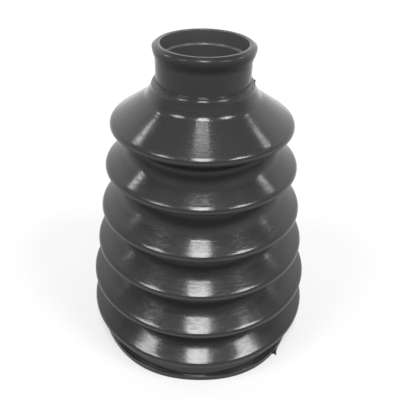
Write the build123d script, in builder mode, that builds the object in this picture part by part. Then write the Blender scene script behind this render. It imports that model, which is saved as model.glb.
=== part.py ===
from build123d import *

import math
import os

# Moulded rubber bellows boot in one piece: a narrow neck at the top, six folds that widen
# downwards and a wide collar at the foot. The axis is Z, the base plane of the collar is
# Z = 0 and every size is in mm.

# Folds, from the neck down: outer radius of each crest and its height above the base plane.
CREST_RADII = (28.37, 30.84, 33.25, 35.64, 38.25, 39.37)
CREST_HEIGHTS = (80.60, 66.75, 51.40, 37.95, 24.27, 10.55)

# Slopes of the two flanks of a fold in degrees from horizontal.
FIRST_FLANK_SLOPE = 33.0
UPPER_FLANK_SLOPE = 31.0
LOWER_FLANK_SLOPE = 29.0

# Wall of the folds and the rounds on both of its faces.
FOLD_WALL = 1.6
CREST_ROUND = 1.3
CREST_ROUND_INSIDE = 0.6
VALLEY_ROUND = 2.0
VALLEY_ROUND_INSIDE = VALLEY_ROUND + FOLD_WALL

# Collar at the large end: bore, clamp seat and the lip under the seat.
COLLAR_BORE_RADIUS = 34.6
COLLAR_SEAT_RADIUS = 36.5
COLLAR_LIP_RADIUS = 37.35
COLLAR_LIP_HEIGHT = 2.1
COLLAR_BORE_ROUND = 2.0
COLLAR_SEAT_ROUND = 2.2
COLLAR_LIP_ROUND = 0.3
COLLAR_MOUTH_ROUND = 0.4
SEAT_CORNER_ROUND = 0.2

# Neck at the small end: bore, lead-in above it, clamp seat and the lip over the seat.
NECK_BORE_RADIUS = 12.0
NECK_BORE_TOP = 99.5
NECK_BORE_EDGE_ROUND = 0.35
NECK_BORE_FOOT_ROUND = 1.5
LEAD_IN_RADIUS = 12.7
LEAD_IN_CORNER_ROUND = 0.2
NECK_SEAT_FOOT_RADIUS = 14.12
NECK_SEAT_TOP_RADIUS = 14.2
NECK_SEAT_TOP = 101.2
NECK_UNDERCUT_ROUND = 0.6
NECK_LIP_RADIUS = 14.92
NECK_LIP_BOTTOM = 102.1
NECK_LIP_TOP = 102.95
NECK_LIP_ROUND = 0.3
CROWN_OUTER = (14.45, 103.4)
CROWN_TOP = (13.2, 103.75)
MOUTH_EDGE = (12.75, 103.6)
MOUTH_ROUND = 0.15

# Double-stepped bead between the neck and the first fold.
BEAD_LAND_HEIGHT = 92.75
BEAD_LAND_RADIUS = 15.05
BEAD_RADIUS = 15.45
BEAD_LEDGE_HEIGHT = 92.0
BEAD_FOOT_HEIGHT = 91.5
BEAD_EDGE_ROUND = 0.15
SHOULDER_FOOT_RADIUS = 17.5
SHOULDER_FOOT_ROUND = 4.0

# Moulding flash left as a thorn on the lip of the collar: radius and angle of each corner.
FLASH_CORNERS = (
    (36.9, -36.0),
    (37.45, -38.0),
    (37.65, -39.8),
    (38.2, -41.2),
    (38.85, -42.2),
    (38.0, -42.0),
    (37.4, -42.4),
    (36.9, -43.5),
)
FLASH_HEIGHT = 0.5


def flank(crest, slope, side, depth):
    """Line a*r + b*z = c that runs depth under one flank; side is 1 above the crest, -1 below."""
    angle = math.radians(slope)
    a = math.sin(angle)
    b = side * math.cos(angle)
    centre_radius = CREST_RADII[crest] - CREST_ROUND
    return a, b, a * centre_radius + b * CREST_HEIGHTS[crest] + CREST_ROUND - depth


def upper_flank(crest, depth):
    slope = FIRST_FLANK_SLOPE if crest == 0 else UPPER_FLANK_SLOPE
    return flank(crest, slope, 1, depth)


def lower_flank(crest, depth):
    return flank(crest, LOWER_FLANK_SLOPE, -1, depth)


def meet(first, second):
    """Point where two lines of the form (a, b, c) cross."""
    determinant = first[0] * second[1] - second[0] * first[1]
    r = (first[2] * second[1] - second[2] * first[1]) / determinant
    z = (first[0] * second[2] - second[0] * first[2]) / determinant
    return r, z


def height_at(line, radius):
    """Height of a line (a, b, c) at a given radius."""
    a, b, c = line
    return (c - a * radius) / b


def folds(depth, crest_round, valley_round):
    """Corners of the zigzag from the lowest crest up to the first, each with its round."""
    corners = []
    for crest in reversed(range(len(CREST_RADII))):
        peak = meet(upper_flank(crest, depth), lower_flank(crest, depth))
        corners.append((*peak, crest_round))
        if crest > 0:
            valley = meet(upper_flank(crest, depth), lower_flank(crest - 1, depth))
            corners.append((*valley, valley_round))
    return corners


LAST = len(CREST_RADII) - 1
collar_seat_top = height_at(lower_flank(LAST, 0), COLLAR_SEAT_RADIUS)
collar_bore_top = height_at(lower_flank(LAST, FOLD_WALL), COLLAR_BORE_RADIUS)
shoulder_foot = height_at(upper_flank(0, 0), SHOULDER_FOOT_RADIUS)
neck_bore_foot = height_at(upper_flank(0, FOLD_WALL), NECK_BORE_RADIUS)

# Section corners (radius, height, round), up the outside from the base and down the inside.
collar_outside = [
    (COLLAR_LIP_RADIUS, 0, COLLAR_LIP_ROUND),
    (COLLAR_LIP_RADIUS, COLLAR_LIP_HEIGHT, COLLAR_LIP_ROUND),
    (COLLAR_SEAT_RADIUS, COLLAR_LIP_HEIGHT, SEAT_CORNER_ROUND),
    (COLLAR_SEAT_RADIUS, collar_seat_top, COLLAR_SEAT_ROUND),
]
neck_outside = [
    (SHOULDER_FOOT_RADIUS, shoulder_foot, SHOULDER_FOOT_ROUND),
    (BEAD_RADIUS, BEAD_FOOT_HEIGHT, BEAD_EDGE_ROUND),
    (BEAD_RADIUS, BEAD_LEDGE_HEIGHT, BEAD_EDGE_ROUND),
    (BEAD_LAND_RADIUS, BEAD_LEDGE_HEIGHT, 0),
    (BEAD_LAND_RADIUS, BEAD_LAND_HEIGHT, BEAD_EDGE_ROUND),
    (NECK_SEAT_FOOT_RADIUS, BEAD_LAND_HEIGHT, SEAT_CORNER_ROUND),
    (NECK_SEAT_TOP_RADIUS, NECK_SEAT_TOP, NECK_UNDERCUT_ROUND),
    (NECK_LIP_RADIUS, NECK_LIP_BOTTOM, NECK_LIP_ROUND),
    (NECK_LIP_RADIUS, NECK_LIP_TOP, NECK_LIP_ROUND),
    (*CROWN_OUTER, NECK_LIP_ROUND),
    (*CROWN_TOP, NECK_LIP_ROUND),
]
neck_inside = [
    (*MOUTH_EDGE, MOUTH_ROUND),
    (LEAD_IN_RADIUS, NECK_BORE_TOP, LEAD_IN_CORNER_ROUND),
    (NECK_BORE_RADIUS, NECK_BORE_TOP, NECK_BORE_EDGE_ROUND),
    (NECK_BORE_RADIUS, neck_bore_foot, NECK_BORE_FOOT_ROUND),
]
collar_inside = [
    (COLLAR_BORE_RADIUS, collar_bore_top, COLLAR_BORE_ROUND),
    (COLLAR_BORE_RADIUS, 0, COLLAR_MOUTH_ROUND),
]
outside_folds = folds(0, CREST_ROUND, VALLEY_ROUND)
inside_folds = folds(FOLD_WALL, CREST_ROUND_INSIDE, VALLEY_ROUND_INSIDE)
section = collar_outside + outside_folds + neck_outside
section += neck_inside + inside_folds[::-1] + collar_inside

flash_outline = []
for flash_radius, flash_angle in FLASH_CORNERS:
    turn = math.radians(flash_angle)
    flash_outline.append((flash_radius * math.cos(turn), flash_radius * math.sin(turn)))

with BuildPart() as bellows_boot:
    with BuildSketch(Plane.XZ):
        with BuildLine():
            FilletPolyline(
                [(r, z) for r, z, _ in section],
                radius=[corner_round for _, _, corner_round in section],
                close=True,
            )
        make_face()
    revolve(axis=Axis.Z)
    with BuildSketch(Plane.XY):
        with BuildLine():
            Polyline(flash_outline, close=True)
        make_face()
    extrude(amount=FLASH_HEIGHT)

bellows_boot.part.label = "bellows_boot"

os.makedirs("parts", exist_ok=True)
export_step(bellows_boot.part, "parts/bellows_boot.step")
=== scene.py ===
import math

import bmesh
import bpy
from bpy.props import FloatProperty, FloatVectorProperty, IntProperty, PointerProperty
from bpy.types import Operator, Panel, PropertyGroup
from mathutils import Matrix, Vector, noise


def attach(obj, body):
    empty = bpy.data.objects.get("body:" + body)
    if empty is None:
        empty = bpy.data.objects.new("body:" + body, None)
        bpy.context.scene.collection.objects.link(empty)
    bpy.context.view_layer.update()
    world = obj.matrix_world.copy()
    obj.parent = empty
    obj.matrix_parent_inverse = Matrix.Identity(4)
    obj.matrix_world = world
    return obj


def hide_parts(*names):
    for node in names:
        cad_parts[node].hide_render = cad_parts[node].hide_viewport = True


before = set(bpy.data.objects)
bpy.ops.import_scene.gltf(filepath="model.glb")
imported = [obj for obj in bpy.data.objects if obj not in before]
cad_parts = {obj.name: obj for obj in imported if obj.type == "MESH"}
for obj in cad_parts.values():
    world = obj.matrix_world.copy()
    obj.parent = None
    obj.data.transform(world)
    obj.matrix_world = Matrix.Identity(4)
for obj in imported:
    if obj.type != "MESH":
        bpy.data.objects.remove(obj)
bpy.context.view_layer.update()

bl_info = {
    "name": "Rubber Bellows Boot",
    "version": (1, 0, 0),
    "blender": (4, 5, 0),
    "location": "3D View > Sidebar > Bellows Boot",
    "description": "Makes a moulded rubber bellows boot and the pale stage it stands on",
    "category": "Object",
}

BOOT = "bellows_boot"
MM = 0.001

# In the solid's section: the radius of the rim's outer edge, and a radius between the lip
# round the large end and the seat above it.
CAD_RIM = 14.92 * MM
CAD_LIP = 36.6 * MM

# Points of the solid's mesh closer together than SAME_POINT are one point, and a point
# closer than ON_CUT to a cutting plane lies on it.
SAME_POINT = 2e-6
ON_CUT = 1e-6

# A point's hollow is how far it lies inside a cone over the crests: the cone's radius at
# the floor, and what it loses of that for each length upwards.
CONE_RADIUS = 41.0 * MM
CONE_LOSS = 0.157

# The hollows over which painted fill light and painted shade set in, the heights over which both end
# under the highest crest, and the radii over which the bore gives way to the rim.
PAINTED_FILL_HOLLOW = (4.0 * MM, 7.5 * MM)
PAINTED_SHADE_HOLLOW = (4.8 * MM, 7.2 * MM)
FOLDS_END = (76.0 * MM, 78.0 * MM)
BORE_EDGE = (12.9 * MM, 13.1 * MM)


# Sizes and colours -----------------------------------------------------------

class BootSkinSettings(PropertyGroup):
    """How the moulded skin is turned from the boot's section."""

    steps: IntProperty(
        name="Steps Round",
        description="How many steps make one full turn of the skin",
        default=128,
        min=48,
        max=256,
    )
    join_distance: FloatProperty(
        name="Join Distance",
        description="Points of the section closer together than this are joined",
        default=0.075 * MM,
        unit="LENGTH",
        precision=6,
    )
    long_run: FloatProperty(
        name="Long Run",
        description="A straight run of the section longer than this gets a guard ring near each end",
        default=1.2 * MM,
        unit="LENGTH",
        precision=6,
    )
    guards: FloatVectorProperty(
        name="Guard Distances",
        description="How far the guard rings stand from the end of their run, each from the one before",
        size=4,
        default=(0.22 * MM, 0.30 * MM, 0.40 * MM, 0.50 * MM),
        unit="LENGTH",
        precision=6,
    )
    crest_round: FloatVectorProperty(
        name="Crest Rounding",
        description="How far down and how far in each crest's upper side is rounded into its flank",
        size=2,
        default=(0.20 * MM, 1.35 * MM),
        unit="LENGTH",
        precision=6,
    )
    crest_growth: FloatProperty(
        name="Crest Growth",
        description="How far each crest stands out beyond the section, as soft rubber spreads",
        default=0.08 * MM,
        unit="LENGTH",
        precision=6,
    )
    crest_settle: FloatVectorProperty(
        name="Crest Settling",
        description="How far each crest has settled under the boot's weight, from the lowest up",
        size=6,
        default=(0.30 * MM, 0.45 * MM, 0.44 * MM, 0.50 * MM, 0.68 * MM, 0.42 * MM),
        unit="LENGTH",
        precision=6,
    )
    valley_settle: FloatVectorProperty(
        name="Valley Settling",
        description="How far each valley between two crests has settled, from the lowest up",
        size=5,
        default=(0.90 * MM, 1.52 * MM, 1.12 * MM, 0.42 * MM, 0.66 * MM),
        unit="LENGTH",
        precision=6,
    )
    shoulder_settle: FloatProperty(
        name="Shoulder Settling",
        description="How far the foot of the shoulder has settled",
        default=0.28 * MM,
        unit="LENGTH",
        precision=6,
    )
    bead_radius: FloatProperty(
        name="Bead Radius",
        description="Radius of the trimmed edge under the neck",
        default=15.45 * MM,
        unit="LENGTH",
        precision=6,
    )
    bead_height: FloatProperty(
        name="Bead Height",
        description="Height of the trimmed edge under the neck",
        default=91.75 * MM,
        unit="LENGTH",
        precision=6,
    )
    bead_waver: FloatProperty(
        name="Bead Waver",
        description="How far the trimmed edge under the neck wavers",
        default=0.07 * MM,
        unit="LENGTH",
        precision=6,
    )
    shoulder_foot: FloatProperty(
        name="Shoulder Foot",
        description="Height of the foot of the shoulder under the bead",
        default=88.2 * MM,
        unit="LENGTH",
        precision=6,
    )
    bead_foot: FloatProperty(
        name="Bead Foot",
        description="Height of the underside of the bead",
        default=91.4 * MM,
        unit="LENGTH",
        precision=6,
    )
    rim_land: FloatProperty(
        name="Rim Land",
        description="Radius at which the neck's flat top ends and its outer slope starts",
        default=13.83 * MM,
        unit="LENGTH",
        precision=6,
    )
    rim_top: FloatProperty(
        name="Rim Top",
        description="Height of the neck's flat top",
        default=103.725 * MM,
        unit="LENGTH",
        precision=6,
    )
    rim_fall: FloatProperty(
        name="Rim Fall",
        description="How far the rim's outer slope falls for each length outwards",
        default=0.6,
    )
    rim_edge: FloatProperty(
        name="Rim Edge",
        description="Radius of the rim's outer edge",
        default=15.03 * MM,
        unit="LENGTH",
        precision=6,
    )
    rim_return: FloatVectorProperty(
        name="Rim Return",
        description="Heights between which the underside of the rim runs softly back into the neck",
        size=2,
        default=(98.8 * MM, 102.5 * MM),
        unit="LENGTH",
        precision=6,
    )
    neck_radius: FloatProperty(
        name="Neck Radius",
        description="Radius of the neck's outside under its rim",
        default=14.18 * MM,
        unit="LENGTH",
        precision=6,
    )
    rim_lean: FloatProperty(
        name="Rim Lean",
        description="How far the rim leans out to the +X side",
        default=0.12 * MM,
        unit="LENGTH",
        precision=6,
    )
    lip_height: FloatProperty(
        name="Lip Height",
        description="Height of the lip round the large end",
        default=2.15 * MM,
        unit="LENGTH",
        precision=6,
    )
    lip_spread: FloatProperty(
        name="Lip Spread",
        description="How far the lip round the large end stands out past its true circle on average",
        default=0.12 * MM,
        unit="LENGTH",
        precision=6,
    )
    lip_lobes: FloatProperty(
        name="Lip Lobes",
        description="How far the lip round the large end swells in and out in six soft lobes",
        default=0.25 * MM,
        unit="LENGTH",
        precision=6,
    )
    lip_dent: FloatProperty(
        name="Lip Dent",
        description="How far the lip round the large end is pressed in behind the thorn",
        default=0.5 * MM,
        unit="LENGTH",
        precision=6,
    )
    lip_dent_angle: FloatProperty(
        name="Lip Dent Angle",
        description="Where the lip's dent lies round the boot, from the +X side",
        default=math.radians(-27.0),
        subtype="ANGLE",
    )
    lip_dent_width: FloatProperty(
        name="Lip Dent Width",
        description="How far round the boot the lip's dent reaches to each side",
        default=math.radians(7.0),
        subtype="ANGLE",
    )
    lip_lean: FloatProperty(
        name="Lip Lean",
        description="How far the lip round the large end leans out to the +X side",
        default=0.10 * MM,
        unit="LENGTH",
        precision=6,
    )


class BootFlashSettings(PropertyGroup):
    """What the mould leaves on the rubber: a torn thorn, a torn nub and a parting line."""

    thorn_angle: FloatProperty(
        name="Thorn Angle",
        description="Where the tip of the thorn stands round the boot, from the +X side",
        default=math.radians(-42.2),
        subtype="ANGLE",
    )
    thorn_reach: FloatProperty(
        name="Thorn Reach",
        description="How far the tip of the thorn stands from the axis",
        default=38.9 * MM,
        unit="LENGTH",
        precision=6,
    )
    thorn_thickness: FloatProperty(
        name="Thorn Thickness",
        description="Thickness of the thorn at its root",
        default=0.5 * MM,
        unit="LENGTH",
        precision=6,
    )
    nub_angle: FloatProperty(
        name="Nub Angle",
        description="Where the torn nub stands round the bead, from the +X side",
        default=math.radians(4.0),
        subtype="ANGLE",
    )
    nub_radius: FloatProperty(
        name="Nub Radius",
        description="How far the middle of the torn nub stands from the axis",
        default=15.32 * MM,
        unit="LENGTH",
        precision=6,
    )
    nub_height: FloatProperty(
        name="Nub Height",
        description="How high the middle of the torn nub stands above the floor",
        default=92.28 * MM,
        unit="LENGTH",
        precision=6,
    )
    nub_size: FloatProperty(
        name="Nub Size",
        description="Width of the torn nub on the bead",
        default=0.9 * MM,
        unit="LENGTH",
        precision=6,
    )
    seam_angle: FloatProperty(
        name="Seam Angle",
        description="Where the parting line stands round the boot, from the +X side",
        default=math.radians(-138.0),
        subtype="ANGLE",
    )
    seam_width: FloatProperty(
        name="Seam Width",
        description="Width of the parting line on the lowest fold",
        default=0.2 * MM,
        unit="LENGTH",
        precision=6,
    )


class BootRubberSettings(PropertyGroup):
    """Colour and finish of the black rubber."""

    colour: FloatVectorProperty(
        name="Rubber Colour",
        description="Colour of the rubber",
        subtype="COLOR",
        size=3,
        default=(0.036, 0.036, 0.037),
        min=0.0,
        max=1.0,
    )
    # Painted fill light: this paler colour lifts the shade deep in the folds and in the bore.
    painted_fill_colour: FloatVectorProperty(
        name="Dusty Colour",
        description="Colour of the rubber deep in the folds and in the bore, where fine dust stays",
        subtype="COLOR",
        size=3,
        default=(0.125, 0.125, 0.126),
        min=0.0,
        max=1.0,
    )
    roughness: FloatProperty(
        name="Roughness",
        description="How rough the moulded surface is",
        default=0.12,
        min=0.0,
        max=1.0,
    )
    turning: FloatProperty(
        name="Turned Finish",
        description="How strongly the fine turned marks draw highlights out along the flanks",
        default=0.2,
        min=0.0,
        max=1.0,
    )
    smudging: FloatProperty(
        name="Smudging",
        description="How much rougher or smoother than the rest the smudges are",
        default=0.02,
        min=0.0,
        max=0.1,
    )
    streaking: FloatProperty(
        name="Streaking",
        description="How much rougher the dull streaks between the turned marks are",
        default=0.085,
        min=0.0,
        max=0.5,
    )
    coat_roughness: FloatProperty(
        name="Sheen Roughness",
        description="How rough the faint broad sheen over the gloss is",
        default=0.36,
        min=0.0,
        max=1.0,
    )
    mark_depth: FloatProperty(
        name="Mark Depth",
        description="Depth of the turned marks that the mould leaves round the boot",
        default=0.010 * MM,
        unit="LENGTH",
        precision=6,
    )


class BootStageSettings(PropertyGroup):
    """Floor, lamps, surroundings and camera."""

    floor_shade: FloatVectorProperty(
        name="Floor Colour",
        description="Colour of the floor",
        subtype="COLOR",
        size=3,
        default=(0.52, 0.52, 0.52),
        min=0.0,
        max=1.0,
    )
    floor_size: FloatProperty(
        name="Floor Size",
        description="Length of one side of the floor",
        default=8.0,
        unit="LENGTH",
    )
    lamp_height: FloatProperty(
        name="Lamp Height",
        description="How high the lamps hang above the floor",
        default=1.2,
        unit="LENGTH",
    )
    main_lamp: FloatProperty(
        name="Main Lamp",
        description="Power of the lamp above and in front of the boot",
        default=8.6,
        unit="POWER",
    )
    top_lamp: FloatProperty(
        name="Top Lamp",
        description="Power of the small lamp right above the boot",
        default=0.52,
        unit="POWER",
    )
    left_side_lamp: FloatProperty(
        name="Left Side Lamp",
        description="Power of the lamp above and to the left of the boot",
        default=6.0,
        unit="POWER",
    )
    right_side_lamp: FloatProperty(
        name="Right Side Lamp",
        description="Power of the lamp above and to the right of the boot",
        default=7.2,
        unit="POWER",
    )
    left_rear_lamp: FloatProperty(
        name="Left Rear Lamp",
        description="Power of the lamp above, behind and to the left of the boot",
        default=1.0,
        unit="POWER",
    )
    right_rear_lamp: FloatProperty(
        name="Right Rear Lamp",
        description="Power of the lamp above, behind and to the right of the boot",
        default=0.8,
        unit="POWER",
    )
    camera_place: FloatVectorProperty(
        name="Camera Place",
        description="Where the camera stands",
        subtype="TRANSLATION",
        unit="LENGTH",
        size=3,
        default=(0.0, -0.13711, 0.14459),
    )
    camera_pitch: FloatProperty(
        name="Camera Pitch",
        description="How far the camera looks down",
        default=math.radians(34.803),
        subtype="ANGLE",
    )
    camera_roll: FloatProperty(
        name="Camera Roll",
        description="How far the camera is rolled",
        default=math.radians(1.37),
        subtype="ANGLE",
    )
    camera_yaw: FloatProperty(
        name="Camera Yaw",
        description="How far the camera is turned from the +Y direction",
        default=math.radians(-0.06),
        subtype="ANGLE",
    )
    camera_lens: FloatProperty(
        name="Camera Lens",
        description="Focal length in millimetres on a 36 mm sensor",
        default=43.31,
    )


# Helpers ---------------------------------------------------------------------

def finished(bm, name, material, replaced=()):
    """Turns bm into a finished rubber piece that rides on the boot's body."""
    mesh = bpy.data.meshes.new(name)
    bm.to_mesh(mesh)
    bm.free()
    for polygon in mesh.polygons:
        polygon.use_smooth = True
    piece = bpy.data.objects.new(name, mesh)
    bpy.context.scene.collection.objects.link(piece)
    mesh.materials.append(material)
    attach(piece, "root")
    if replaced:
        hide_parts(*replaced)
    return piece


def wired(tree, kind, place, **inputs):
    """A node of that kind in the tree: numbers set its sockets, and sockets are linked to them."""
    node = tree.nodes.new(kind)
    node.location = place
    for key, value in inputs.items():
        socket = node.inputs[int(key[1:])] if key[1:].isdigit() else node.inputs[key.replace("_", " ")]
        if isinstance(value, bpy.types.NodeSocket):
            tree.links.new(value, socket)
        else:
            socket.default_value = value
    return node


def reckoned(tree, operation, place, first, second=None):
    """A Math node's result."""
    node = tree.nodes.new("ShaderNodeMath")
    node.operation = operation
    node.location = place
    for socket, value in zip(node.inputs, (first, second)):
        if isinstance(value, bpy.types.NodeSocket):
            tree.links.new(value, socket)
        elif value is not None:
            socket.default_value = value
    return node.outputs[0]


def ranged(tree, place, value, low, high, to_low, to_high):
    """value taken smoothly from the range low to high into to_low to to_high."""
    node = tree.nodes.new("ShaderNodeMapRange")
    node.location = place
    node.interpolation_type = "SMOOTHSTEP"
    tree.links.new(value, node.inputs["Value"])
    node.inputs["From Min"].default_value = low
    node.inputs["From Max"].default_value = high
    node.inputs["To Min"].default_value = to_low
    node.inputs["To Max"].default_value = to_high
    return node.outputs["Result"]


def moulded_rubber():
    """Black rubber with the fine turned marks of its mould, painted fill light in its folds and bore,
    and painted shade on its reflections, made once.
    """
    made = bpy.data.materials.get("moulded_rubber")
    if made:
        return made
    look = bpy.context.scene.boot_rubber
    material = bpy.data.materials.new("moulded_rubber")
    material.use_nodes = True
    tree = material.node_tree
    tree.nodes.clear()

    place = tree.nodes.new("ShaderNodeTexCoord")
    place.location = (-1800, 0)
    split = wired(tree, "ShaderNodeSeparateXYZ", (-1600, 0), _0=place.outputs["Object"])
    x, y, z = split.outputs
    x_squared = reckoned(tree, "MULTIPLY", (-1450, 200), x, x)
    y_squared = reckoned(tree, "MULTIPLY", (-1450, 60), y, y)
    radius = reckoned(
        tree, "SQRT", (-1200, 120),
        reckoned(tree, "ADD", (-1300, 120), x_squared, y_squared))
    round_x = reckoned(tree, "DIVIDE", (-1100, 260), x, radius)
    round_y = reckoned(tree, "DIVIDE", (-1100, -40), y, radius)

    def turned(row, along, across, detail):
        """Noise drawn out round the boot: along and across say how fast it changes each way."""
        vector = wired(
            tree, "ShaderNodeCombineXYZ", (-760, row),
            _0=reckoned(tree, "MULTIPLY", (-920, row + 60), round_x, along),
            _1=reckoned(tree, "MULTIPLY", (-920, row), round_y, along),
            _2=reckoned(tree, "MULTIPLY", (-920, row - 60), radius, across))
        node = tree.nodes.new("ShaderNodeTexNoise")
        node.location = (-580, row)
        node.noise_dimensions = "4D"
        tree.links.new(vector.outputs[0], node.inputs["Vector"])
        tree.links.new(reckoned(tree, "MULTIPLY", (-920, row - 120), z, across), node.inputs["W"])
        node.inputs["Scale"].default_value = 1.0
        node.inputs["Detail"].default_value = detail
        node.inputs["Roughness"].default_value = 0.55
        return node.outputs["Fac"]

    fine = turned(600, along=9.0, across=1900.0, detail=2.0)
    streaks = turned(900, along=16.0, across=2300.0, detail=2.0)
    broad = turned(200, along=1.6, across=520.0, detail=1.0)
    grain = wired(
        tree, "ShaderNodeTexNoise", (-580, -200),
        Vector=place.outputs["Object"], Scale=4200.0, Detail=2.0)
    smudge = wired(
        tree, "ShaderNodeTexNoise", (-580, -480),
        Vector=place.outputs["Object"], Scale=95.0, Detail=3.0)

    # The relief: broad waves twice as deep as the fine marks, and a little grain over both.
    waves = reckoned(tree, "MULTIPLY", (-420, 240), broad, 2.0)
    marks = reckoned(tree, "ADD", (-320, 400), fine, waves)
    pits = reckoned(tree, "MULTIPLY", (-320, 0), grain.outputs["Fac"], 0.12)
    height = reckoned(tree, "ADD", (-200, 300), marks, pits)
    bump = wired(
        tree, "ShaderNodeBump", (-40, 100),
        Strength=1.0, Distance=look.mark_depth, Height=height)

    # Painted fill light: a paler colour lifts the shade on what faces up between the crests, and in the
    # bore.
    geometry = tree.nodes.new("ShaderNodeNewGeometry")
    geometry.location = (-400, -1000)
    facing = wired(tree, "ShaderNodeSeparateXYZ", (-220, -1000), _0=geometry.outputs["Normal"])
    up = facing.outputs[2]
    loss = reckoned(tree, "MULTIPLY", (-1400, -700), z, CONE_LOSS)
    cone = reckoned(tree, "SUBTRACT", (-1250, -700), CONE_RADIUS, loss)
    hollow = reckoned(tree, "SUBTRACT", (-1100, -700), cone, radius)
    folds = ranged(tree, (-900, -700), hollow, *PAINTED_FILL_HOLLOW, 0.0, 1.0)
    below = ranged(tree, (-900, -900), z, *FOLDS_END, 1.0, 0.0)
    bore = ranged(tree, (-900, -1100), radius, *BORE_EDGE, 1.0, 0.0)
    upward = ranged(tree, (-900, -1300), up, 0.0, 0.4, 0.0, 1.0)
    settled = reckoned(tree, "MULTIPLY", (-760, -1200), below, upward)
    fill_place = reckoned(tree, "MAXIMUM", (-620, -1000), settled, bore)
    painted_fill = reckoned(tree, "MULTIPLY", (-700, -800), folds, fill_place)
    colour = wired(tree, "ShaderNodeMix", (-40, -1100), _0=painted_fill)
    colour.data_type = "RGBA"
    colour.inputs[6].default_value = (*look.colour, 1.0)
    colour.inputs[7].default_value = (*look.painted_fill_colour, 1.0)

    # Painted shade: the gloss falls to a tenth deep between the crests, and is low on what faces out or
    # down, dimming the reflections there.
    depth = ranged(tree, (-620, -700), hollow, *PAINTED_SHADE_HOLLOW, 0.0, 1.0)
    deep = reckoned(tree, "MULTIPLY", (-420, -700), depth, below)
    painted_shade = ranged(tree, (-220, -700), deep, 0.0, 1.0, 1.0, 0.1)
    gloss = ranged(tree, (-40, -760), up, -0.30, 0.45, 0.08, 0.5)
    sheen = ranged(tree, (-40, -880), up, -0.10, 0.45, 0.03, 0.20)
    smooth = look.roughness - look.smudging
    rough = look.roughness + look.smudging
    smudged = ranged(tree, (-120, -200), smudge.outputs["Fac"], 0.3, 0.7, smooth, rough)
    streaked = ranged(tree, (-120, -460), streaks, 0.42, 0.62, 0.0, look.streaking)

    tangent = tree.nodes.new("ShaderNodeTangent")
    tangent.location = (-40, -500)
    tangent.direction_type = "RADIAL"
    tangent.axis = "Z"

    rubber = wired(
        tree, "ShaderNodeBsdfPrincipled", (240, 0),
        Base_Color=colour.outputs[2],
        IOR=1.5,
        Anisotropic=look.turning,
        Anisotropic_Rotation=0.25,
        Tangent=tangent.outputs[0],
        Normal=bump.outputs[0],
        Roughness=reckoned(tree, "ADD", (80, -250), smudged, streaked),
        Coat_Weight=reckoned(tree, "MULTIPLY", (80, -880), painted_shade, sheen),
        Coat_Roughness=look.coat_roughness,
        Specular_IOR_Level=reckoned(tree, "MULTIPLY", (80, -760), painted_shade, gloss))
    end = wired(tree, "ShaderNodeOutputMaterial", (560, 0), Surface=rubber.outputs[0])
    end.is_active_output = True
    return material


# Pieces ----------------------------------------------------------------------

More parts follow.
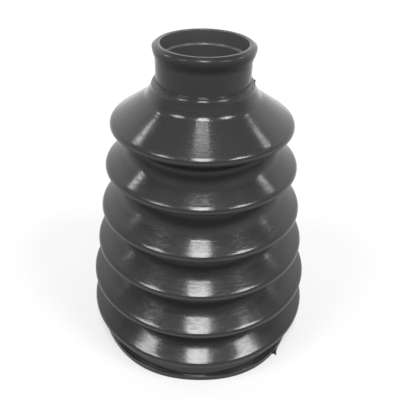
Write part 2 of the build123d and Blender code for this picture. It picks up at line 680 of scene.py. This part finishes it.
class BOOT_OT_skin(Operator):
    """Turns the boot's section into its moulded skin"""

    bl_idname = "bellows_boot.skin"
    bl_label = "Boot Skin"
    bl_options = {"REGISTER", "UNDO"}

    def execute(self, context):
        shape = context.scene.boot_skin
        bm = bmesh.new()
        bm.from_mesh(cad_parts[BOOT].data)
        bmesh.ops.remove_doubles(bm, verts=bm.verts, dist=SAME_POINT)
        bmesh.ops.bisect_plane(
            bm, geom=bm.verts[:] + bm.edges[:] + bm.faces[:], dist=ON_CUT,
            plane_co=(0, 0, 0), plane_no=(0, 1, 0), clear_inner=True, clear_outer=True)
        bmesh.ops.bisect_plane(
            bm, geom=bm.verts[:] + bm.edges[:], dist=ON_CUT,
            plane_co=(0, 0, 0), plane_no=(1, 0, 0), clear_inner=True)
        bmesh.ops.remove_doubles(bm, verts=bm.verts, dist=shape.join_distance)
        if any(len(v.link_edges) != 2 for v in bm.verts):
            raise RuntimeError("the boot's section isn't one closed outline")
        for edge in [e for e in bm.edges if e.calc_length() > shape.long_run]:
            self.ring_ends(edge, shape)
        turns = self.turns(bm, shape)
        self.round_crests(bm, turns[::2], shape)
        self.settle(bm, turns, shape)
        self.rim(bm, shape)
        bmesh.ops.spin(
            bm, geom=bm.verts[:] + bm.edges[:], cent=(0, 0, 0), axis=(0, 0, 1),
            angle=2 * math.pi, steps=shape.steps, use_merge=True)
        self.waver(bm, shape)
        bmesh.ops.recalc_face_normals(bm, faces=bm.faces)
        finished(bm, "boot_skin", moulded_rubber(), (BOOT,))
        return {"FINISHED"}

    def ring_ends(self, edge, shape):
        """Splits a long run near both ends, and more often where a flank comes down to its crest."""
        length = edge.calc_length()
        shortest = max(shape.long_run, 0.35 * length)
        crest = max(edge.verts, key=lambda v: v.co.x)
        upper_flank = edge.other_vert(crest).co.z > crest.co.z + 0.1 * length
        for end in edge.verts[:]:
            close = upper_flank and end is crest
            for step in shape.guards if close else shape.guards[:1]:
                if edge.calc_length() < shortest:
                    break
                new_edge, end_vert = bmesh.utils.edge_split(edge, end, step / edge.calc_length())
                edge = max((edge, new_edge), key=lambda e: e.calc_length())
                end = end_vert

    def round_crests(self, bm, crests, shape):
        """Rounds the upper side of each crest into its flank and spreads the crest outwards."""
        depth, width = shape.crest_round
        under = 2 * MM
        for crest in crests:
            for v in bm.verts:
                inwards, rise = crest.x - v.co.x, v.co.z - crest.z
                if inwards < width and -under < rise < width:
                    share = (1 - inwards / width) ** 2 * min(1.0, 1 + rise / under)
                    v.co.z -= depth * share
                    v.co.x += shape.crest_growth * share

    def settle(self, bm, turns, shape):
        """Lets the folds sink a little, each crest and valley by its own amount."""
        settling = [0.0]
        for crest, valley in zip(shape.crest_settle, (*shape.valley_settle, 0.0)):
            settling += [crest, valley]
        settling = settling[:-1] + [shape.shoulder_settle, 0.0]
        heights = [shape.lip_height, *(turn.z for turn in turns), shape.shoulder_foot, shape.bead_foot]
        for v in bm.verts:
            for low, high, sunk_low, sunk_high in zip(heights, heights[1:], settling, settling[1:]):
                if low < v.co.z <= high:
                    share = (v.co.z - low) / (high - low)
                    v.co.z -= sunk_low + share * (sunk_high - sunk_low)
                    break

    def turns(self, bm, shape):
        """The outside's crests and valleys in turn, from the lowest and widest crest up."""
        start = max(bm.verts, key=lambda v: v.co.x)
        last, here = start, max(self.neighbours(start), key=lambda v: v.co.z)
        outside = [start.co.copy()]
        while here.co.z < shape.shoulder_foot:
            outside.append(here.co.copy())
            last, here = here, next(v for v in self.neighbours(here) if v is not last)
        turns = [start.co.copy()]
        for below, turn, above in zip(outside, outside[1:], outside[2:]):
            if (turn.x - below.x) * (above.x - turn.x) < 0.0:
                turns.append(turn)
        return turns

    def neighbours(self, v):
        """The points that share an edge with v."""
        return [e.other_vert(v) for e in v.link_edges]

    def rim(self, bm, shape):
        """Gives the neck a flat top, a plain slope to a sharp outer edge and a soft return below."""
        foot, brow = shape.rim_return
        inner_edge = shape.neck_radius - 1.1 * MM
        outer_edge = shape.rim_edge - 0.25 * MM
        swell = shape.rim_edge - shape.neck_radius
        outer = [v for v in bm.verts if v.co.x > inner_edge and v.co.z > foot - 2 * MM]
        coarse = [e for e in bm.edges if e.calc_length() > 0.5 * MM]
        runs = [e for e in coarse if e.verts[0] in outer and e.verts[1] in outer]
        bmesh.ops.subdivide_edges(bm, edges=runs, cuts=6)
        for v in bm.verts:
            if v.co.x < inner_edge or v.co.z < foot:
                continue
            if v.co.z < brow:
                share = (v.co.z - foot) / (brow - foot)
                eased = share * share * (3 - 2 * share)
                v.co.x = shape.neck_radius + eased * swell
            elif v.co.x > outer_edge:
                v.co.x += shape.rim_edge - CAD_RIM
            else:
                past_land = max(0.0, v.co.x - shape.rim_land)
                v.co.z = shape.rim_top - shape.rim_fall * past_land

    def waver(self, bm, shape):
        """Moves the bead's edge, the rim and the lip a little out of true, as soft rubber sits."""
        bead_reach = 0.6 * MM
        lean_run = 2 * MM
        for v in bm.verts:
            radius = math.hypot(v.co.x, v.co.y)
            angle = math.atan2(v.co.y, v.co.x)
            outward = Vector((math.cos(angle), math.sin(angle), 0.0))
            away = math.hypot(radius - shape.bead_radius, v.co.z - shape.bead_height)
            share = max(0.0, 1.0 - away / bead_reach)
            if share:
                slow = noise.noise(outward * 9.0)
                quick = noise.noise(outward * 22.0 + Vector((0.0, 0.0, 5.0)))
                push = share * shape.bead_waver * (slow + 0.6 * quick)
                v.co += outward * push - Vector((0.0, 0.0, 0.5 * push))
            over_foot = v.co.z - shape.rim_return[0]
            if over_foot > 0.0:
                v.co.x += min(1.0, over_foot / lean_run) * shape.rim_lean
            if v.co.z < shape.lip_height and radius > CAD_LIP:
                lobes = shape.lip_lobes * math.cos(6 * angle)
                lean = shape.lip_lean * outward.x
                from_dent = (angle - shape.lip_dent_angle) / shape.lip_dent_width
                dent = shape.lip_dent * math.exp(-from_dent ** 2)
                v.co += outward * (shape.lip_spread + lobes + lean - dent)


class BOOT_OT_flash(Operator):
    """Adds what the mould leaves: the torn thorn on the lip, the nub on the bead and the parting line"""

    bl_idname = "bellows_boot.flash"
    bl_label = "Mould Flash"
    bl_options = {"REGISTER", "UNDO"}

    def execute(self, context):
        marks = context.scene.boot_flash
        self.thorn(marks)
        self.nub(marks)
        self.seam(marks)
        return {"FINISHED"}

    def thorn(self, marks):
        """A flat fin that starts along the lip and turns out into a hooked tip."""
        bm = bmesh.new()
        tip = marks.thorn_reach
        lift = 0.02 * MM
        taper = 1.4 * MM
        # How far each corner stands out past the tip, in millimetres, and round from it, in degrees.
        outline = (
            (-2.1, 7.0), (-1.5, 4.4), (-1.15, 2.4), (-0.62, 1.0), (0.0, 0.1),
            (-0.5, -0.25), (-1.0, -0.15), (-1.75, -1.3),
        )
        corners = []
        for past, ahead in outline:
            angle = marks.thorn_angle + math.radians(ahead)
            radius = tip + past * MM
            corners.append(bm.verts.new((radius * math.cos(angle), radius * math.sin(angle), lift)))
        fin = bm.faces.new(corners)
        raised = bmesh.ops.extrude_face_region(bm, geom=[fin])["geom"]
        for v in raised:
            if isinstance(v, bmesh.types.BMVert):
                reach = math.hypot(v.co.x, v.co.y)
                share = 0.35 + 0.65 * min(1.0, max(0.0, (tip - reach) / taper))
                v.co.z += marks.thorn_thickness * share
        bmesh.ops.recalc_face_normals(bm, faces=bm.faces)
        bmesh.ops.bevel(
            bm, geom=bm.edges[:], offset=0.07 * MM, segments=2, profile=0.5,
            affect="EDGES", material=-1, clamp_overlap=True)
        bmesh.ops.triangulate(bm, faces=[f for f in bm.faces if len(f.verts) > 4])
        finished(bm, "flash_thorn", moulded_rubber())

    def nub(self, marks):
        """A small torn lump on the outer edge of the bead."""
        bm = bmesh.new()
        lumps, closeness = 0.25, 2600.0
        bmesh.ops.create_icosphere(bm, subdivisions=3, radius=marks.nub_size / 2)
        for v in bm.verts:
            v.co *= 1.0 + lumps * noise.noise(v.co * closeness)
        bmesh.ops.scale(bm, vec=(0.75, 1.15, 0.85), verts=bm.verts)
        bmesh.ops.translate(bm, vec=(marks.nub_radius, 0.0, marks.nub_height), verts=bm.verts)
        turn = Matrix.Rotation(marks.nub_angle, 3, "Z")
        bmesh.ops.rotate(bm, cent=(0, 0, 0), matrix=turn, verts=bm.verts)
        finished(bm, "bead_nub", moulded_rubber())

    def seam(self, marks):
        """The raised line where the mould's halves met, down the upper flank of the lowest fold."""
        skin = bpy.data.objects["boot_skin"]
        outward = Vector((math.cos(marks.seam_angle), math.sin(marks.seam_angle), 0.0))
        across = Vector((-outward.y, outward.x, 0.0))
        above = Vector((0, 0, 18 * MM))
        down = Vector((0, 0, -1))
        bm = bmesh.new()
        rings = []
        # Distances from the axis in millimetres.
        start, pitch = 33.6, 0.5
        stops = [start + pitch * step for step in range(12)]
        for stop in stops:
            hit, point, normal, _ = skin.ray_cast(outward * stop * MM + above, down)
            if not hit:
                raise RuntimeError("the parting line has no flank to follow")
            along = across.cross(normal).normalized()
            turn = Matrix((across, normal, along)).transposed().to_4x4()
            size = 0.35 if stop in (stops[0], stops[-1]) else 1.0
            shape = Matrix.Translation(point) @ turn @ Matrix.Diagonal((size, 0.8 * size, 1.0, 1.0))
            ring = bmesh.ops.create_circle(bm, segments=8, radius=marks.seam_width / 2, matrix=shape)
            made = ring["verts"]
            rings.append(list({edge for v in made for edge in v.link_edges}))
        for first, second in zip(rings, rings[1:]):
            bmesh.ops.bridge_loops(bm, edges=first + second)
        for end in (rings[0], rings[-1]):
            bmesh.ops.edgeloop_fill(bm, edges=end)
        bmesh.ops.recalc_face_normals(bm, faces=bm.faces)
        finished(bm, "parting_line", moulded_rubber())


class BOOT_OT_stage(Operator):
    """Sets the floor, the lamps, the surroundings and the camera"""

    bl_idname = "bellows_boot.stage"
    bl_label = "Stage"
    bl_options = {"REGISTER", "UNDO"}

    def execute(self, context):
        stage = context.scene.boot_stage
        self.floor(context, stage)
        self.surroundings(context)
        high = stage.lamp_height
        # Each lamp's place and size are in lengths of the lamps' height above the floor.
        for name, (across, back), (width, depth), power in (
            ("main_lamp", (0.01, -0.463), (0.24, 0.49), stage.main_lamp),
            ("top_lamp", (0.0, -0.065), (0.18, 0.094), stage.top_lamp),
            ("left_side_lamp", (-0.65, -0.36), (0.32, 0.36), stage.left_side_lamp),
            ("right_side_lamp", (0.65, -0.36), (0.32, 0.36), stage.right_side_lamp),
            ("left_rear_lamp", (-0.87, 0.385), (0.18, 0.12), stage.left_rear_lamp),
            ("right_rear_lamp", (0.88, 0.385), (0.20, 0.14), stage.right_rear_lamp),
        ):
            place = (across * high, back * high, high)
            self.lamp(context, name, place, (width * high, depth * high), power)
        self.camera(context, stage)
        context.scene.view_settings.view_transform = "Standard"
        return {"FINISHED"}

    def floor(self, context, stage):
        """A wide paper floor, whose glow is weaker close to the boot and in front of it."""
        bm = bmesh.new()
        bmesh.ops.create_grid(bm, x_segments=1, y_segments=1, size=stage.floor_size / 2)
        mesh = bpy.data.meshes.new("floor")
        bm.to_mesh(mesh)
        bm.free()
        floor = bpy.data.objects.new("floor", mesh)
        context.scene.collection.objects.link(floor)
        material = bpy.data.materials.new("floor_paper")
        material.use_nodes = True
        tree = material.node_tree
        tree.nodes.clear()
        paper = wired(tree, "ShaderNodeBsdfDiffuse", (-200, 0), Color=(*stage.floor_shade, 1.0))
        place = tree.nodes.new("ShaderNodeTexCoord")
        place.location = (-1300, -600)
        away = wired(tree, "ShaderNodeVectorMath", (-1100, -600), _0=place.outputs["Object"])
        away.operation = "LENGTH"
        split = wired(tree, "ShaderNodeSeparateXYZ", (-1100, -800), _0=place.outputs["Object"])
        front = ranged(tree, (-900, -800), split.outputs[1], -0.35, -0.03, 0.5, 1.0)
        fade = ranged(tree, (-900, -600), away.outputs["Value"], 0.06, 0.70, 0.46, 0.80)
        white = self.seen(tree, reckoned(tree, "MULTIPLY", (-700, -700), fade, front))
        glow = wired(
            tree, "ShaderNodeEmission", (-200, -200),
            Color=(1, 1, 1, 1), Strength=white)
        both = wired(tree, "ShaderNodeAddShader", (0, 0), _0=paper.outputs[0], _1=glow.outputs[0])
        wired(tree, "ShaderNodeOutputMaterial", (200, 0), Surface=both.outputs[0])
        mesh.materials.append(material)

    def seen(self, tree, amount):
        """amount for what the camera, a reflection or glass sees, and 0 for the light itself."""
        path = tree.nodes.new("ShaderNodeLightPath")
        path.location = (-900, -300)
        camera, glossy = path.outputs["Is Camera Ray"], path.outputs["Is Glossy Ray"]
        either = reckoned(tree, "MAXIMUM", (-720, -300), camera, glossy)
        together = reckoned(tree, "MAXIMUM", (-560, -300), either, path.outputs["Is Transmission Ray"])
        return reckoned(tree, "MULTIPLY", (-400, -300), together, amount)

    def surroundings(self, context):
        """Walls pale behind the boot and dim in front, a pale band low all round, a dark ceiling."""
        world = bpy.data.worlds.new("studio")
        context.scene.world = world
        world.use_nodes = True
        tree = world.node_tree
        tree.nodes.clear()
        place = tree.nodes.new("ShaderNodeTexCoord")
        place.location = (-1400, 0)
        split = wired(tree, "ShaderNodeSeparateXYZ", (-1200, 0), _0=place.outputs["Generated"])
        behind = ranged(tree, (-1000, 100), split.outputs[1], -0.20, 0.55, 0.18, 1.0)
        above = ranged(tree, (-1000, -100), split.outputs[2], 0.50, 0.85, 0.0, 1.0)
        overhead = reckoned(tree, "MULTIPLY", (-800, -100), above, 0.06)
        low = ranged(tree, (-1000, 300), split.outputs[2], 0.12, 0.26, 0.85, 0.0)
        wide = reckoned(tree, "MAXIMUM", (-800, 240), behind, low)
        walls = reckoned(tree, "SUBTRACT", (-800, 60), 1.0, above)
        around = reckoned(tree, "MULTIPLY", (-600, 100), wide, walls)
        light = reckoned(tree, "ADD", (-400, 0), around, overhead)
        sky = wired(tree, "ShaderNodeBackground", (0, 0), Color=(1, 1, 1, 1), Strength=light)
        wired(tree, "ShaderNodeOutputWorld", (200, 0), Surface=sky.outputs[0])

    def lamp(self, context, name, place, size, power):
        """One flat lamp that shines straight down."""
        data = bpy.data.lights.new(name, "AREA")
        data.shape = "RECTANGLE"
        data.size, data.size_y = size
        data.energy = power
        lamp = bpy.data.objects.new(name, data)
        lamp.location = place
        context.scene.collection.objects.link(lamp)

    def camera(self, context, stage):
        """The camera, turned and tipped down first and then rolled."""
        pitch, roll, yaw = stage.camera_pitch, stage.camera_roll, stage.camera_yaw
        north = Vector((math.sin(yaw), math.cos(yaw), 0.0))
        ahead = math.cos(pitch) * north - Vector((0.0, 0.0, math.sin(pitch)))
        level = Vector((math.cos(yaw), -math.sin(yaw), 0.0))
        upward = level.cross(ahead)
        right = math.cos(roll) * level + math.sin(roll) * upward
        top = math.cos(roll) * upward - math.sin(roll) * level
        turn = Matrix((right, top, -ahead)).transposed()
        data = bpy.data.cameras.new("camera")
        data.sensor_fit = "HORIZONTAL"
        data.sensor_width = 36.0
        data.lens = stage.camera_lens
        data.clip_start = 0.005
        camera = bpy.data.objects.new("camera", data)
        camera.matrix_world = Matrix.Translation(stage.camera_place) @ turn.to_4x4()
        context.scene.collection.objects.link(camera)
        context.scene.camera = camera


class BOOT_PT_sidebar(Panel):
    """Lists the boot's pieces and their sizes"""

    bl_idname = "BOOT_PT_sidebar"
    bl_label = "Bellows Boot"
    bl_space_type = "VIEW_3D"
    bl_region_type = "UI"
    bl_category = "Bellows Boot"

    def draw(self, context):
        scene = context.scene
        for title, settings, operators in (
            ("Skin", scene.boot_skin, ("bellows_boot.skin",)),
            ("Flash", scene.boot_flash, ("bellows_boot.flash",)),
            ("Rubber", scene.boot_rubber, ()),
            ("Stage", scene.boot_stage, ("bellows_boot.stage",)),
        ):
            box = self.layout.box()
            box.label(text=title)
            for key in settings.__annotations__:
                box.prop(settings, key)
            for name in operators:
                box.operator(name)


CLASSES = (
    BootSkinSettings,
    BootFlashSettings,
    BootRubberSettings,
    BootStageSettings,
    BOOT_OT_skin,
    BOOT_OT_flash,
    BOOT_OT_stage,
    BOOT_PT_sidebar,
)
SETTINGS = (
    ("boot_skin", BootSkinSettings),
    ("boot_flash", BootFlashSettings),
    ("boot_rubber", BootRubberSettings),
    ("boot_stage", BootStageSettings),
)


def register():
    for made in CLASSES:
        bpy.utils.register_class(made)
    for name, group in SETTINGS:
        setattr(bpy.types.Scene, name, PointerProperty(type=group))


def unregister():
    for name, _ in reversed(SETTINGS):
        delattr(bpy.types.Scene, name)
    for made in reversed(CLASSES):
        bpy.utils.unregister_class(made)


def main():
    register()
    bpy.ops.bellows_boot.skin()
    bpy.ops.bellows_boot.flash()
    bpy.ops.bellows_boot.stage()


if __name__ == "__main__":
    main()
